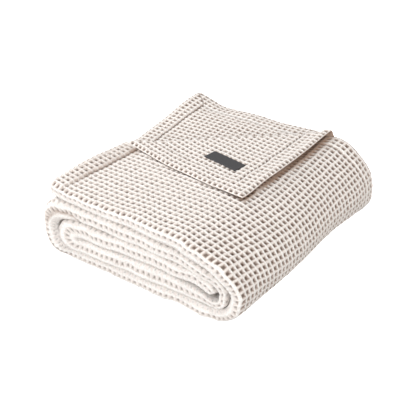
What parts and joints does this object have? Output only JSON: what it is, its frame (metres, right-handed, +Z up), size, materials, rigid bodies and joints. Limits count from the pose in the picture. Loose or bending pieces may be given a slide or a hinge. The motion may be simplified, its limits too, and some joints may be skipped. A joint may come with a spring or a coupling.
{
  "type": "folded waffle weave cotton blanket",
  "caption": "Thick cream waffle weave cotton blanket, folded to a strip and rolled flat in layers, with one hemmed corner turned back to show a small dark woven label.",
  "frame": {"origin": "middle of the folded blanket's footprint, on the surface that it rests on", "axes": "+Z up; +Y along the folds, away from the end where the layers show; +X towards the rounded outer turn of the roll"},
  "size_m": [0.3606, 0.3904, 0.1263],
  "materials": {
    "waffle_cotton": "matt cream cotton in a deep square waffle weave, with raised ribs round each pit and soft fuzzy yarn",
    "label_weave": "fine charcoal woven tape with a faint satin sheen, plain face"
  },
  "bodies": {
    "root": {"blanket": "waffle_cotton", "label": "label_weave"}
  },
  "joints": []
}
